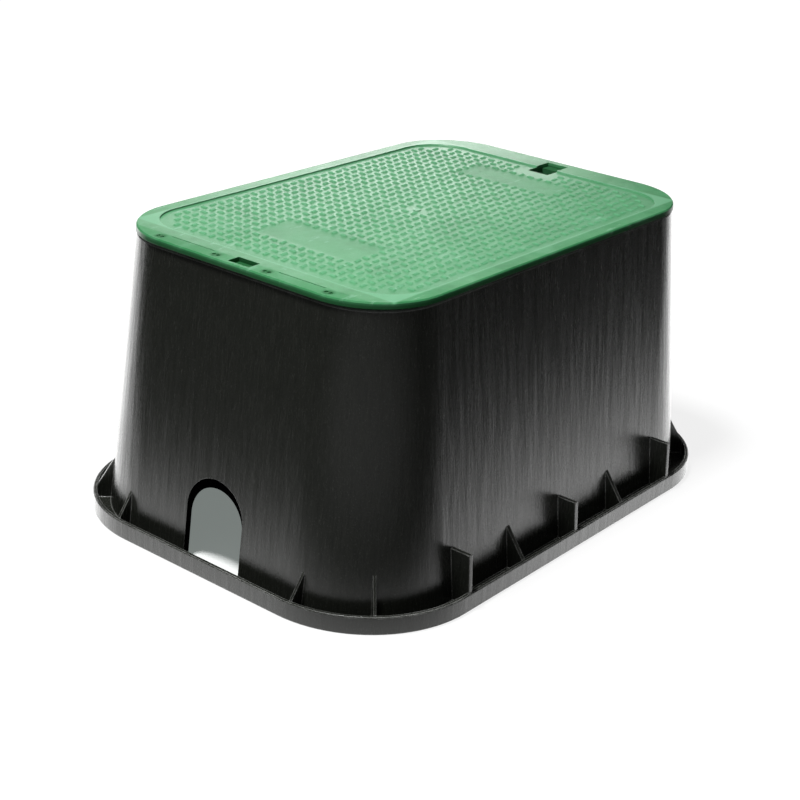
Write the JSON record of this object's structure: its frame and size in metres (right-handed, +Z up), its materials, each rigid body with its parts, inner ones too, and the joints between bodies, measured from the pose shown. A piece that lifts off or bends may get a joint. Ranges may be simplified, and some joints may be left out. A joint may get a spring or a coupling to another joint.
{
  "type": "irrigation valve box",
  "caption": "Tapered rectangular ground box, open at the base, with a channel flange, arched pipe openings in its ends and a lift-off treaded lid.",
  "frame": {"origin": "middle of the base flange's footprint, on the ground", "axes": "+X along the length, away from the end with the pry slot; +Y across the width; +Z up"},
  "size_m": [0.6196, 0.4586, 0.305],
  "materials": {
    "body_plastic": "black structural-foam polyethylene, dull, with fine upright flow streaks",
    "lid_plastic": "green moulded polyethylene, satin, slightly cloudy"
  },
  "bodies": {
    "root": {"box_body": "body_plastic", "lid": "lid_plastic"}
  },
  "joints": []
}
